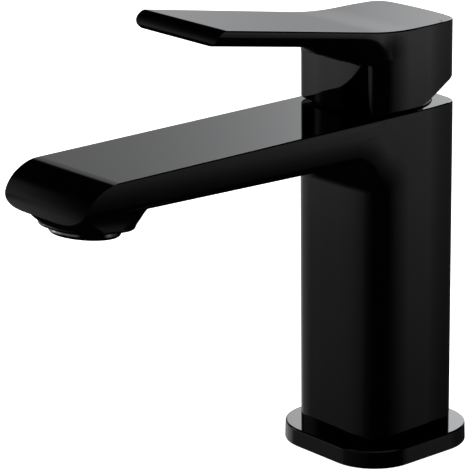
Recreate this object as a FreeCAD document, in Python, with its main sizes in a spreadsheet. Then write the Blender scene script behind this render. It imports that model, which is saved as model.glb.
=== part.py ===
import FreeCAD, Part
import math
import os
import Sketcher

V = FreeCAD.Vector
doc = FreeCAD.newDocument("basin_mixer")

# Single-lever basin mixer. Millimetres, +Z up, the spout points to -Y.
# The origin is the middle of the base on the basin's deck (z = 0).

# ---------------------------------------------------------------- dimensions
TABLE = [
    # body and spout
    ("body_width", 45.0), ("body_corner", 10.0), ("body_top", 131.4),
    ("spout_end", 162.0), ("spout_root_low", 114.2), ("spout_tip_low", 118.3),
    ("spout_edge", 9.6), ("inner_bend", 11.0), ("top_edge", 0.6),
    ("nose_start", 136.0), ("nose_front", 153.9), ("nose_lip", 153.4),
    ("nose_mid_drop", 14.8), ("nose_radius", 18.3),
    # outlet boss and aerator
    ("outlet_reach", 135.1), ("outlet_level", 108.65), ("outlet_tilt", 7.0), ("boss_low", 2.6),
    ("socket_radius", 11.6), ("socket_top", 9.8),
    ("outlet_chamber_radius", 9.0),
    # base
    ("plate_width", 58.5), ("plate_corner", 18.0), ("plate_thick", 6.8),
    ("plate_edge", 0.6), ("plate_lower_edge", 0.4), ("spigot_radius", 18.0),
    ("spigot_low", 1.2), ("gasket_inner", 20.8), ("gasket_outer", 25.0),
    ("gasket_thick", 2.2),
    # inlets and fixing
    ("inlet_x", 8.5), ("inlet_y", 5.5), ("inlet_radius", 4.5), ("inlet_depth", 14.0),
    ("stud_y", -11.0), ("stud_radius", 4.0), ("stud_low", -54.0), ("stud_depth", 13.0),
    ("deck_gap", 30.0), ("shoe_radius", 25.5), ("shoe_slot", 15.5), ("shoe_slot_start", -4.0),
    ("shoe_rubber_thick", 3.0), ("shoe_steel_thick", 2.5), ("fixing_nut_flats", 13.0),
    ("fixing_nut_high", 14.0),
    # cartridge
    ("seat", 99.0), ("bay_radius", 17.6), ("nut_low", 124.0), ("nut_radius", 18.9),
    ("nut_top", 129.8), ("thread_radius", 19.0), ("collar_radius", 19.6), ("collar_low", 129.9),
    ("cart_radius", 17.5), ("cart_split", 103.0), ("neck_radius", 13.5), ("neck_top", 139.0),
    ("neck_bore", 10.5), ("cup_bore", 14.6), ("cup_roof", 121.4),
    ("port_x", 5.0), ("port_y", -2.8), ("port_radius", 2.2), ("exit_y", 4.2), ("exit_radius", 3.0),
    ("disc_rest", 3.327), ("disc_radius", 10.6), ("fixed_disc_radius", 13.4),
    ("fixed_low", 105.1), ("disc_plane", 108.6), ("disc_high", 111.6), ("driver_high", 117.5),
    ("boss_half", 4.4), ("boss_high", 124.8), ("ball_radius", 2.5), ("ball_pocket", 2.62),
    ("pivot", 138.0), ("arm_length", 16.0), ("arm_bend", 12.0), ("arm_half", 1.4),
    ("guide_low", 118.0), ("guide_flange_high", 121.1), ("guide_flange", 14.2),
    ("guide_radius", 10.44), ("guide_top", 141.2), ("slot_half_x", 4.65), ("slot_half_y", 8.2),
    ("pin_radius", 1.5), ("pin_half", 10.1), ("tooth_half", 2.6), ("tooth_reach", 14.8),
    ("stop_radius", 15.4), ("stop_low", 136.5), ("stop_step", 137.8), ("stop_top", 141.0),
    ("stop_gap_angle", 114.0),
    ("stem_half", 4.0), ("stem_top", 158.0),
    # cover ring
    ("cover_radius", 20.3), ("cover_top", 131.95), ("cover_bore", 13.8), ("cover_skirt", 19.5),
    ("cover_edge", 0.3), ("cover_dome_low", 17.4), ("cover_dome_top", 16.7), ("cover_dome_level", 136.3),
    # handle
    ("handle_half", 22.15), ("handle_corner", 9.8), ("hub_low", 132.3), ("hub_back_low", 142.4),
    ("hub_cut_start", 1.0), ("handle_dip", 161.95), ("handle_dip_y", 0.0), ("handle_sweep", 133.0),
    ("lever_rise", 9.7), ("lever_end", 100.0), ("lever_thick", 6.1), ("lever_edge", 3.8),
    ("lever_bend", 10.6), ("handle_rim", 0.55), ("hub_foot_edge", 0.8), ("lever_nose_start", 89.6), ("lever_nose_front", 94.2),
    ("lever_lip", 93.6), ("lever_nose_drop", 4.2), ("lever_nose_radius", 5.6),
    ("hub_bore", 18.4), ("hub_roof", 150.6), ("socket_half", 4.05), ("socket_high", 158.4),
    ("screw_level", 155.0), ("screw_radius", 2.5), ("screw_length", 9.0), ("cap_radius", 3.6),
    ("cap_depth", 5.0),
    # aerator
    ("ring_radius", 12.5), ("ring_low", 0.0), ("ring_thread", 11.5), ("ring_top", 8.0),
    ("ring_bore", 9.8), ("insert_radius", 9.7), ("insert_low", 0.8), ("insert_top", 8.0),
    ("washer_inner", 8.2),
]

sheet = doc.addObject("Spreadsheet::Sheet", "dims")
VALUE = {}
for row, (alias, value) in enumerate(TABLE, start=1):
    sheet.set("A%d" % row, alias)
    sheet.set("B%d" % row, repr(value))
    sheet.setAlias("B%d" % row, alias)
    VALUE[alias] = value
doc.recompute()


class Q:
    """A size: its present value, and the expression that drives it from the sheet."""

    def __init__(self, value, text):
        self.v, self.t = float(value), text

    @staticmethod
    def of(x):
        return x if isinstance(x, Q) else Q(x, repr(float(x)))

    def __add__(self, o):
        o = Q.of(o)
        return Q(self.v + o.v, "(%s + %s)" % (self.t, o.t))

    def __radd__(self, o):
        return Q.of(o) + self

    def __sub__(self, o):
        o = Q.of(o)
        return Q(self.v - o.v, "(%s - %s)" % (self.t, o.t))

    def __rsub__(self, o):
        return Q.of(o) - self

    def __mul__(self, o):
        o = Q.of(o)
        return Q(self.v * o.v, "(%s * %s)" % (self.t, o.t))

    def __rmul__(self, o):
        return Q.of(o) * self

    def __truediv__(self, o):
        o = Q.of(o)
        return Q(self.v / o.v, "(%s / %s)" % (self.t, o.t))

    def __neg__(self):
        return Q(-self.v, "(-1 * %s)" % self.t)


def D(alias):
    return Q(VALUE[alias], "dims." + alias)


def q_sin(a):
    return Q(math.sin(math.radians(a.v)), "sin(%s * 1deg)" % a.t)


def q_cos(a):
    return Q(math.cos(math.radians(a.v)), "cos(%s * 1deg)" % a.t)


def q_tan(a):
    return Q(math.tan(math.radians(a.v)), "tan(%s * 1deg)" % a.t)


SUBPARTS = []


def bind(obj, prop, q):
    q = Q.of(q)
    obj.setExpression(prop, q.t)


def part_of(obj, label):
    obj.Label = label
    SUBPARTS.append(obj)
    return obj


# ---------------------------------------------------------------- builders
def plane(body, role):
    for f in body.Origin.OriginFeatures:
        if f.Role == role:
            return f
    raise RuntimeError(role)


def new_body(name):
    return doc.addObject("PartDesign::Body", name)


def new_sketch(body, role, name, offset=None):
    sk = body.newObject("Sketcher::SketchObject", name)
    sk.AttachmentSupport = (plane(body, role), [""])
    sk.MapMode = "FlatFace"
    if offset is not None:
        bind(sk, "AttachmentOffset.Base.z", offset)
    return sk


def fix_point(sk, geo, pos, x, y):
    for kind, q in (("DistanceX", Q.of(x)), ("DistanceY", Q.of(y))):
        i = sk.addConstraint(Sketcher.Constraint(kind, -1, 1, geo, pos, q.v))
        sk.setExpression("Constraints[%d]" % i, q.t)


def outline(sk, points):
    """A closed outline. Each point is (x, y) or (x, y, radius, side): the piece that leaves it is a
    straight line, or an arc of that radius with its centre to the left (+1) or right (-1)."""
    n = len(points)
    pts = [(Q.of(p[0]), Q.of(p[1])) for p in points]
    ids, ends = [], []
    for i in range(n):
        a = V(pts[i][0].v, pts[i][1].v, 0)
        b = V(pts[(i + 1) % n][0].v, pts[(i + 1) % n][1].v, 0)
        if len(points[i]) == 2:
            ids.append(sk.addGeometry(Part.LineSegment(a, b), False))
            ends.append((1, 2))
        else:
            r, side = Q.of(points[i][2]), points[i][3]
            mid, half = (a + b) * 0.5, (b - a).Length / 2
            left = V(-(b - a).y, (b - a).x, 0).normalize()
            c = mid + left * (side * math.sqrt(max(r.v * r.v - half * half, 0.0)))
            aa, ab = math.atan2(a.y - c.y, a.x - c.x), math.atan2(b.y - c.y, b.x - c.x)
            circle = Part.Circle(c, V(0, 0, 1), r.v)
            if side > 0:
                ids.append(sk.addGeometry(Part.ArcOfCircle(circle, aa, ab), False))
                ends.append((1, 2))
            else:
                ids.append(sk.addGeometry(Part.ArcOfCircle(circle, ab, aa), False))
                ends.append((2, 1))
    for i in range(n):
        j = (i + 1) % n
        sk.addConstraint(Sketcher.Constraint("Coincident", ids[i], ends[i][1], ids[j], ends[j][0]))
    for i in range(n):
        fix_point(sk, ids[i], ends[i][0], pts[i][0], pts[i][1])
        if len(points[i]) == 4:
            r = Q.of(points[i][2])
            k = sk.addConstraint(Sketcher.Constraint("Radius", ids[i], r.v))
            sk.setExpression("Constraints[%d]" % k, r.t)


def round_hole(sk, x, y, r):
    x, y, r = Q.of(x), Q.of(y), Q.of(r)
    g = sk.addGeometry(Part.Circle(V(x.v, y.v, 0), V(0, 0, 1), r.v), False)
    fix_point(sk, g, 3, x, y)
    k = sk.addConstraint(Sketcher.Constraint("Radius", g, r.v))
    sk.setExpression("Constraints[%d]" % k, r.t)


def pad(body, sk, length, middle=False, back=False, name="pad"):
    f = body.newObject("PartDesign::Pad", name)
    f.Profile = sk
    f.Midplane = middle
    f.Reversed = back
    bind(f, "Length", length)
    doc.recompute()
    return f


def pocket(body, sk, length, middle=False, back=False, name="pocket"):
    before = body.Shape.Volume
    f = body.newObject("PartDesign::Pocket", name)
    f.Profile = sk
    f.Midplane = middle
    f.Reversed = back
    bind(f, "Length", length)
    doc.recompute()
    if not body.Shape.Volume < before - 1e-3:
        raise RuntimeError("pocket cut nothing: " + f.Label)
    return f


def turn(body, sk, name="turned"):
    f = body.newObject("PartDesign::Revolution", name)
    f.Profile = sk
    f.ReferenceAxis = (sk, ["V_Axis"])
    f.Angle = 360.0
    doc.recompute()
    return f


def pick(shape, test):
    return ["Edge%d" % (i + 1) for i, e in enumerate(shape.Edges) if test(e)]


def middle_of(e):
    return e.valueAt((e.FirstParameter + e.LastParameter) / 2)


def fillet(body, test, radius, name="round"):
    base = body.Tip
    names = pick(base.Shape, test)
    if not names:
        raise RuntimeError("no edge for " + name)
    f = body.newObject("PartDesign::Fillet", name)
    f.Base = (base, names)
    bind(f, "Radius", radius)
    doc.recompute()
    if f.Shape.isNull() or not f.Shape.isValid():
        raise RuntimeError("fillet failed: " + name)
    return f


def turned_part(name, rz):
    """A piece turned about the Z axis from an outline of (radius, height)."""
    b = new_body(name)
    sk = new_sketch(b, "XZ_Plane", name + "_outline")
    outline(sk, rz)
    turn(b, sk, name + "_turned")
    return b


def cyl(name, r, low, high, x=0.0, y=0.0):
    c = doc.addObject("Part::Cylinder", name)
    low, high = Q.of(low), Q.of(high)
    bind(c, "Radius", r)
    bind(c, "Height", high - low)
    bind(c, "Placement.Base.x", x)
    bind(c, "Placement.Base.y", y)
    bind(c, "Placement.Base.z", low)
    return c


def block(name, x0, x1, y0, y1, z0, z1):
    b = doc.addObject("Part::Box", name)
    for prop, lo, hi, axis in (("Length", x0, x1, "x"), ("Width", y0, y1, "y"), ("Height", z0, z1, "z")):
        lo, hi = Q.of(lo), Q.of(hi)
        bind(b, prop, hi - lo)
        bind(b, "Placement.Base." + axis, lo)
    return b


def lying(name, r, x0, x1, y, z, along="x"):
    """A round bar along X or Y."""
    c = doc.addObject("Part::Cylinder", name)
    x0, x1 = Q.of(x0), Q.of(x1)
    bind(c, "Radius", r)
    bind(c, "Height", x1 - x0)
    if along == "x":
        c.Placement = FreeCAD.Placement(V(0, 0, 0), FreeCAD.Rotation(V(0, 1, 0), 90))
        bind(c, "Placement.Base.x", x0)
        bind(c, "Placement.Base.y", y)
    else:
        c.Placement = FreeCAD.Placement(V(0, 0, 0), FreeCAD.Rotation(V(1, 0, 0), -90))
        bind(c, "Placement.Base.x", y)
        bind(c, "Placement.Base.y", x0)
    bind(c, "Placement.Base.z", z)
    return c


def join(name, *shapes):
    f = doc.addObject("Part::MultiFuse", name)
    f.Shapes = list(shapes)
    return f


def cut(name, base, tool, refine=True):
    c = doc.addObject("Part::Cut", name)
    c.Base, c.Tool = base, tool
    c.Refine = refine
    return c


def ring(name, r_in, r_out, low, high, x=0.0, y=0.0):
    return cut(name, cyl(name + "_out", r_out, low, high, x, y),
               cyl(name + "_in", r_in, Q.of(low) - 1.0, Q.of(high) + 1.0, x, y))


def group(name, *shapes):
    c = doc.addObject("Part::Compound", name)
    c.Links = list(shapes)
    return c


def near(a, b, tol=0.02):
    return abs(a - b) < tol


# ---------------------------------------------------------------- body and spout
W = D("body_width")
half = W / 2
H = D("body_top")

b = new_body("casting")
sk = new_sketch(b, "YZ_Plane", "casting_side")
outline(sk, [
    (half, D("plate_thick")),
    (half, H),
    (-D("spout_end"), H),
    (-D("spout_end"), D("spout_tip_low")),
    (-half, D("spout_root_low")),
    (-half, D("plate_thick")),
])
pad(b, sk, W, middle=True, name="casting_pad")

hw, root_low, tip_low, end = half.v, VALUE["spout_root_low"], VALUE["spout_tip_low"], VALUE["spout_end"]


def is_inner_corner(e):
    m = middle_of(e)
    return near(m.y, -hw) and near(m.z, root_low) and near(m.x, 0)


fillet(b, is_inner_corner, D("inner_bend"), "inner_bend")


def is_rear_corner(e):
    m = middle_of(e)
    return near(abs(m.x), hw) and near(m.y, hw) and m.z > VALUE["plate_thick"] + 5 and m.z < VALUE["body_top"] - 5


def is_lower_edge(e):
    m = middle_of(e)
    if not near(abs(m.x), hw) or m.z > VALUE["body_top"] - 2 or m.z < VALUE["plate_thick"] + 2:
        return False
    if near(m.y, hw) or near(m.y, -end):
        return False
    return True


fillet(b, is_rear_corner, D("body_corner"), "rear_corners")
fillet(b, is_lower_edge, D("spout_edge"), "front_corners")


def is_top_rim(e):
    m = middle_of(e)
    if near(m.z, VALUE["body_top"], 0.01) and not near(m.x, 0.0, 0.5):
        return True
    return near(m.z, VALUE["body_top"], 0.01) and m.y > hw - 1.0


fillet(b, is_top_rim, D("top_edge"), "top_rim")

# the rounded nose of the spout, crisp against the sides
sk = new_sketch(b, "YZ_Plane", "nose_side")
outline(sk, [
    (-D("nose_start"), H + 5.0),
    (-(D("spout_end") + 5.0), H + 5.0),
    (-(D("spout_end") + 5.0), D("spout_root_low") - 8.0),
    (-D("nose_lip") , D("spout_root_low") - 8.0),
    (-D("nose_lip"), D("spout_tip_low") - 1.2),
    (-D("nose_front"), H - D("nose_mid_drop") + 1.6, D("nose_radius"), -1),
    (-D("nose_start"), H),
])
pocket(b, sk, W + 10.0, middle=True, name="nose_cut")
casting = b

# The outlet points down and a little forward. Its pieces are built upright, with the outlet's lower
# face at height 0, and then tipped into place.
TIP = D("outlet_tilt")


def tipped(obj, x=0.0, y=0.0, z=0.0):
    x, y, z = Q.of(x), Q.of(y), Q.of(z)
    obj.Placement = FreeCAD.Placement(V(0, 0, 0), FreeCAD.Rotation(V(-1, 0, 0), TIP.v))
    bind(obj, "Placement.Rotation.Angle", TIP)
    bind(obj, "Placement.Base.x", x)
    bind(obj, "Placement.Base.y", y * q_cos(TIP) + z * q_sin(TIP) - D("outlet_reach"))
    bind(obj, "Placement.Base.z", z * q_cos(TIP) - y * q_sin(TIP) + D("outlet_level"))
    return obj


def tipped_cyl(name, r, low, high, x=0.0, y=0.0):
    c = doc.addObject("Part::Cylinder", name)
    low, high = Q.of(low), Q.of(high)
    bind(c, "Radius", r)
    bind(c, "Height", high - low)
    return tipped(c, x, y, low)


# outlet boss: rounded sections that flare into the underside, (level, half width, front, back, corner)
BL = D("boss_low")
BOSS = [
    (BL + 1.2, 14.2, 15.6, 17.1, 12.2),
    (BL + 2.6, 14.22, 17.3, 17.7, 11.4),
    (BL + 4.4, 14.35, 18.9, 18.5, 10.6),
    (BL + 6.4, 14.7, 19.3, 19.8, 10.4),
    (BL + 8.4, 15.4, 18.7, 22.3, 10.2),
    (BL + 10.9, 17.4, 16.6, 27.6, 10.0),
]


def boss_outline(sk, hx, front, back, rad):
    outline(sk, [
        (-hx + rad, -front), (hx - rad, -front, rad, 1), (hx, -front + rad),
        (hx, back - rad, rad, 1), (hx - rad, back), (-hx + rad, back, rad, 1),
        (-hx, back - rad), (-hx, -front + rad, rad, 1),
    ])


boss = new_body("boss")
sk = new_sketch(boss, "XY_Plane", "boss_foot", offset=BL)
boss_outline(sk, *BOSS[0][1:])
pad(boss, sk, BOSS[0][0] - BL, name="boss_foot_pad")
fillet(boss, lambda e: near(middle_of(e).z, VALUE["boss_low"], 0.01) and e.BoundBox.ZLength < 0.01, 0.9, "boss_rim")
rings = []
for i, section in enumerate(BOSS):
    sk = new_sketch(boss, "XY_Plane", "boss_section_%d" % i, offset=section[0])
    boss_outline(sk, *section[1:])
    rings.append(sk)
doc.recompute()
loft = boss.newObject("PartDesign::AdditiveLoft", "boss_loft")
loft.Profile = rings[0]
loft.Sections = rings[1:]
loft.Ruled = False
loft.Closed = False
doc.recompute()
boss_edge = tipped(boss)

spigot = cyl("spigot", D("spigot_radius"), D("spigot_low"), D("plate_thick") + 1.0)
outer = join("outer", casting, boss_edge, spigot)

OR_ = D("socket_radius")
IX, IY = D("inlet_x"), D("inlet_y")
SEAT = D("seat")
tools = [
    # cartridge bay, its thread and the collar seat
    cyl("bay", D("bay_radius"), SEAT, H + 1.0),
    cyl("nut_thread", D("thread_radius"), D("nut_low"), H + 1.0),
    cyl("collar_seat", D("collar_radius"), D("collar_low"), H + 1.0),
    # peg holes that locate the cartridge
    cyl("peg_hole_a", 2.1, SEAT - 2.0, SEAT + 1.0, 12.6, 0.0),
    cyl("peg_hole_b", 2.1, SEAT - 2.0, SEAT + 1.0, -12.6, 0.0),
    # inlet ports and their risers
    cyl("port_hot", D("inlet_radius"), D("spigot_low") - 1.0, D("spigot_low") + D("inlet_depth"), -IX, IY),
    cyl("port_cold", D("inlet_radius"), D("spigot_low") - 1.0, D("spigot_low") + D("inlet_depth"), IX, IY),
    cyl("riser_hot", 3.2, D("spigot_low") + D("inlet_depth") - 0.5, SEAT - 9.0, -IX, IY),
    cyl("riser_cold", 3.2, D("spigot_low") + D("inlet_depth") - 0.5, SEAT - 9.0, IX, IY),
    block("riser_link_hot", -(IX + 2.4), -(D("port_x") - 2.2), D("port_y") - 2.2, IY + 2.4, SEAT - 11.0, SEAT - 5.0),
    block("riser_link_cold", D("port_x") - 2.2, IX + 2.4, D("port_y") - 2.2, IY + 2.4, SEAT - 11.0, SEAT - 5.0),
    cyl("seat_hot", D("port_radius") + 0.3, SEAT - 6.0, SEAT + 1.0, -D("port_x"), D("port_y")),
    cyl("seat_cold", D("port_radius") + 0.3, SEAT - 6.0, SEAT + 1.0, D("port_x"), D("port_y")),
    # the mixed water's way: down from the seat, forward, up the front and along the spout
    cyl("seat_exit", D("exit_radius") + 0.3, SEAT - 20.0, SEAT + 1.0, 0.0, D("exit_y")),
    block("exit_cross", -3.2, 3.2, -18.0, D("exit_y") + 2.6, SEAT - 20.0, SEAT - 13.5),
    block("front_riser", -7.0, 7.0, -21.0, -18.9, SEAT - 20.0, 123.0),
    block("front_link", -3.2, 3.2, -19.5, -17.5, SEAT - 20.0, SEAT - 13.5),
    block("spout_way", -12.0, 12.0, -(D("outlet_reach") - 7.0), -20.2, 120.4, 123.0),
    block("spout_way_deep", -12.0, 12.0, -(D("outlet_reach") - 7.0), -24.5, 120.4, 126.4),
    # aerator socket
    tipped_cyl("aerator_socket", OR_, D("boss_low") - 1.0, D("socket_top")),
    tipped_cyl("outlet_chamber", D("outlet_chamber_radius"), D("socket_top") - 0.5, D("socket_top") + 5.7),
    # fixing stud
    cyl("stud_hole", D("stud_radius") + 0.02, D("spigot_low") - 1.0, D("spigot_low") + D("stud_depth"), 0.0, D("stud_y")),
]
waterways = join("waterways", *tools)
part_of(cut("spout_body_cut", outer, waterways), "spout_body")

# ---------------------------------------------------------------- base plate and its gasket
b = new_body("plate")
sk = new_sketch(b, "XY_Plane", "plate_outline")
ph = D("plate_width") / 2
outline(sk, [(-ph, -ph), (ph, -ph), (ph, ph), (-ph, ph)])
pad(b, sk, D("plate_thick"), name="plate_pad")
pw = ph.v
fillet(b, lambda e: near(abs(middle_of(e).x), pw) and near(abs(middle_of(e).y), pw), D("plate_corner"), "plate_corners")
fillet(b, lambda e: near(middle_of(e).z, VALUE["plate_thick"]), D("plate_edge"), "plate_rim")
fillet(b, lambda e: near(middle_of(e).z, 0.0), D("plate_lower_edge"), "plate_foot")
sk = new_sketch(b, "XY_Plane", "plate_hole")
round_hole(sk, 0.0, 0.0, D("spigot_radius") + 0.05)
pocket(b, sk, D("plate_thick") + 2.0, back=True, name="plate_bore")
sk = new_sketch(b, "XY_Plane", "gasket_groove")
round_hole(sk, 0.0, 0.0, D("gasket_inner") - 0.05)
round_hole(sk, 0.0, 0.0, D("gasket_outer") + 0.05)
pocket(b, sk, D("gasket_thick"), back=True, name="gasket_groove_cut")
part_of(b, "base_plate")

part_of(ring("gasket", D("gasket_inner"), D("gasket_outer"), 0.0, D("gasket_thick")), "base_gasket")

# ---------------------------------------------------------------- cartridge
PX, PY, PR = D("port_x"), D("port_y"), D("port_radius")
EY, ER = D("exit_y"), D("exit_radius")
SPLIT = D("cart_split")

part_of(turned_part("housing", [
    (D("cup_bore"), SPLIT), (D("cart_radius"), SPLIT), (D("cart_radius"), D("nut_low")),
    (D("neck_radius"), D("nut_low")), (D("neck_radius"), D("neck_top")), (D("neck_bore"), D("neck_top")),
    (D("neck_bore"), D("cup_roof")), (D("cup_bore"), D("cup_roof")),
]), "cartridge_housing")

foot = turned_part("cart_foot", [
    (0.0, SEAT + 0.3), (D("cart_radius"), SEAT + 0.3), (D("cart_radius"), SPLIT),
    (D("cup_bore") - 0.05, SPLIT), (D("cup_bore") - 0.05, SPLIT + 1.5), (0.0, SPLIT + 1.5),
])
pegs = [cyl("peg_a", 2.0, SEAT - 1.8, SEAT + 0.8, 12.6, 0.0), cyl("peg_b", 2.0, SEAT - 1.8, SEAT + 0.8, -12.6, 0.0)]
foot_whole = join("foot_whole", foot, *pegs)
foot_holes = [
    cyl("foot_hot", PR, SEAT - 1.0, SPLIT + 3.0, -PX, PY),
    cyl("foot_cold", PR, SEAT - 1.0, SPLIT + 3.0, PX, PY),
    cyl("foot_exit", ER, SEAT - 1.0, SPLIT + 3.0, 0.0, EY),
    # grooves for the seals below and above
    cyl("foot_groove_hot", PR + 1.3, SEAT - 0.5, SEAT + 1.5, -PX, PY),
    cyl("foot_groove_cold", PR + 1.3, SEAT - 0.5, SEAT + 1.5, PX, PY),
    cyl("foot_groove_exit", ER + 1.3, SEAT - 0.5, SEAT + 1.5, 0.0, EY + 1.2),
    cyl("foot_cup_hot", PR + 1.1, SPLIT + 0.5, SPLIT + 3.0, -PX, PY),
    cyl("foot_cup_cold", PR + 1.1, SPLIT + 0.5, SPLIT + 3.0, PX, PY),
    cyl("foot_cup_exit", ER + 1.1, SPLIT + 0.5, SPLIT + 3.0, 0.0, EY + 1.2),
]
part_of(cut("foot_cut", foot_whole, join("foot_tools", *foot_holes)), "cartridge_base")

part_of(group(
    "seat_seals",
    ring("seal_hot", PR + 0.3, PR + 1.25, SEAT, SEAT + 1.5, -PX, PY),
    ring("seal_cold", PR + 0.3, PR + 1.25, SEAT, SEAT + 1.5, PX, PY),
    ring("seal_exit", ER + 0.3, ER + 1.25, SEAT, SEAT + 1.5, 0.0, EY + 1.2),
), "port_seals")

FL = D("fixed_low")
part_of(group(
    "plate_seals",
    ring("cup_hot", PR, PR + 1.05, SPLIT + 0.5, FL, -PX, PY),
    ring("cup_cold", PR, PR + 1.05, SPLIT + 0.5, FL, PX, PY),
    ring("cup_exit", ER, ER + 1.05, SPLIT + 0.5, FL, 0.0, EY + 1.2),
), "disc_seals")

DP = D("disc_plane")
fixed_holes = join(
    "fixed_holes",
    cyl("fixed_hot", PR, FL - 1.0, DP + 1.0, -PX, PY),
    cyl("fixed_cold", PR, FL - 1.0, DP + 1.0, PX, PY),
    cyl("fixed_exit", ER, FL - 1.0, DP + 1.0, 0.0, EY),
    block("fixed_key_a", -1.6, 1.6, D("fixed_disc_radius") - 1.4, D("fixed_disc_radius") + 2.0, FL - 1.0, DP + 1.0),
    block("fixed_key_b", -1.6, 1.6, -(D("fixed_disc_radius") + 2.0), -(D("fixed_disc_radius") - 1.4), FL - 1.0, DP + 1.0),
)
part_of(cut("fixed_cut", cyl("fixed_blank", D("fixed_disc_radius"), FL, DP), fixed_holes), "fixed_disc")

# the sliding disc, with the mixing pocket in its lower face
R0 = D("disc_rest")
pocket_mix = join(
    "mix_pocket",
    block("mix_mid", -6.2, 6.2, R0 - 3.1, R0 + 5.6, DP - 1.0, DP + 1.7),
    cyl("mix_end", 6.2, DP - 1.0, DP + 1.7, 0.0, R0 + 1.6),
)
part_of(cut("moving_cut", cyl("moving_blank", D("disc_radius"), DP + 0.02, D("disc_high"), 0.0, R0), pocket_mix), "moving_disc")

BH = D("boss_half")
driver_solid = join(
    "driver_solid",
    cyl("driver_plate", D("disc_radius"), D("disc_high"), D("driver_high"), 0.0, R0),
    block("driver_boss", -BH, BH, R0 - BH, R0 + BH, D("driver_high") - 1.0, D("boss_high")),
)
driver_tool = join(
    "driver_tool",
    cyl("driver_pocket", D("ball_pocket"), D("driver_high") + 0.6, D("boss_high") + 1.0, 0.0, R0),
    cyl("driver_scoop_a", 2.2, D("disc_high") - 1.0, D("driver_high") - 2.0, 6.6, R0),
    cyl("driver_scoop_b", 2.2, D("disc_high") - 1.0, D("driver_high") - 2.0, -6.6, R0),
)
part_of(cut("driver_cut", driver_solid, driver_tool), "disc_driver")

# turning guide that holds the lever's pin
PV = D("pivot")
guide_solid = join(
    "guide_solid",
    cyl("guide_flange_disc", D("guide_flange"), D("guide_low"), D("guide_flange_high")),
    cyl("guide_barrel", D("guide_radius"), D("guide_low"), D("guide_top")),
    block("guide_tooth", -D("tooth_half"), D("tooth_half"), -D("tooth_reach"), -9.0, D("neck_top") + 0.4, D("guide_top")),
)
guide_tool = join(
    "guide_tool",
    block("guide_slot", -D("slot_half_x"), D("slot_half_x"), -D("slot_half_y"), D("slot_half_y"),
          D("guide_low") - 1.0, D("guide_top") + 1.0),
    lying("guide_pin_hole", D("pin_radius") + 0.01, -20.0, 20.0, 0.0, PV),
)
part_of(cut("guide_cut", guide_solid, guide_tool), "lever_guide")
part_of(lying("pin", D("pin_radius"), -D("pin_half"), D("pin_half"), 0.0, PV), "lever_pin")

# lever stem: a square shank above the pin, a cranked arm with a ball below it
SH = D("stem_half")
arm = doc.addObject("Part::Box", "stem_arm")
bind(arm, "Length", 6.0)
bind(arm, "Width", D("arm_half") * 2.0)
bind(arm, "Height", D("arm_length"))
AB = D("arm_bend")
arm.Placement = FreeCAD.Placement(V(0, 0, 0), FreeCAD.Rotation(V(1, 0, 0), VALUE["arm_bend"]))
bind(arm, "Placement.Rotation.Angle", AB)
# the arm's lower end is at the ball's centre
ball_y = D("arm_length") * q_sin(AB)
ball_z = PV - D("arm_length") * q_cos(AB)
bind(arm, "Placement.Base.x", -3.0)
bind(arm, "Placement.Base.y", ball_y - D("arm_half") * q_cos(AB))
bind(arm, "Placement.Base.z", ball_z - D("arm_half") * q_sin(AB))
ball = doc.addObject("Part::Sphere", "stem_ball")
bind(ball, "Radius", D("ball_radius"))
bind(ball, "Placement.Base.y", ball_y)
bind(ball, "Placement.Base.z", ball_z)
# the arm narrows to the ball's width near its end
arm_waist = join(
    "arm_waist",
    block("waist_a", D("arm_half"), 4.0, -2.0, 8.0, ball_z - 4.0, ball_z + 5.6),
    block("waist_b", -4.0, -D("arm_half"), -2.0, 8.0, ball_z - 4.0, ball_z + 5.6),
)
arm_slim = cut("arm_slim", arm, arm_waist)
stem_solid = join(
    "stem_solid",
    block("stem_shank", -SH, SH, -SH, SH, PV, D("stem_top")),
    lying("stem_knuckle", SH, -4.4, 4.4, 0.0, PV),
    arm_slim, ball,
)
part_of(cut("stem_cut", stem_solid, lying("stem_pin_hole", D("pin_radius") + 0.05, -20.0, 20.0, 0.0, PV)), "lever_stem")

# limit ring: clips on the cartridge's neck, its gap lets the guide's tooth turn
stop_solid = ring("stop_ring", D("neck_radius") + 0.05, D("stop_radius"), D("stop_low"), D("stop_top"))
gap = doc.addObject("Part::Cylinder", "stop_gap")
bind(gap, "Radius", D("stop_radius") + 5.0)
bind(gap, "Height", 20.0)
bind(gap, "Angle", D("stop_gap_angle"))
gap.Placement = FreeCAD.Placement(V(0, 0, VALUE["stop_step"]),
                                  FreeCAD.Rotation(V(0, 0, 1), -90 - VALUE["stop_gap_angle"] / 2))
bind(gap, "Placement.Base.z", D("stop_step"))
part_of(cut("stop_cut", stop_solid, gap), "temperature_stop")

# clamping nut with four spanner slots
nut_blank = ring("nut_blank", D("neck_radius") + 0.3, D("nut_radius"), D("nut_low"), D("nut_top"))
nut_slots = join(
    "nut_slots",
    block("nut_slot_x", -30.0, 30.0, -2.0, 2.0, D("nut_top") - 2.0, D("nut_top") + 2.0),
    block("nut_slot_y", -2.0, 2.0, -30.0, 30.0, D("nut_top") - 2.0, D("nut_top") + 2.0),
)
part_of(cut("nut_cut", nut_blank, nut_slots), "cartridge_nut")

# domed cover ring between the body and the handle
b = turned_part("cover", [
    (D("cover_bore"), H), (D("cover_skirt") - 1.8, H), (D("cover_skirt") - 1.8, D("collar_low") + 0.1),
    (D("cover_skirt"), D("collar_low") + 0.1), (D("cover_skirt"), H), (D("cover_radius"), H),
    (D("cover_radius") - 0.15, D("cover_top")), (D("cover_dome_low"), D("cover_top"), 12.0, 1),
    (D("cover_dome_top"), D("cover_dome_level")), (D("cover_bore"), D("cover_dome_level")),
])
fillet(b, lambda e: near(middle_of(e).z, VALUE["cover_top"]) and math.hypot(middle_of(e).x, middle_of(e).y) > 19,
       D("cover_edge"), "cover_rim")
part_of(b, "cover_ring")

# ---------------------------------------------------------------- handle
HH = D("handle_half")
RISE = D("lever_rise")
sweep, dip, dip_y = D("handle_sweep"), D("handle_dip"), D("handle_dip_y")
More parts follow.
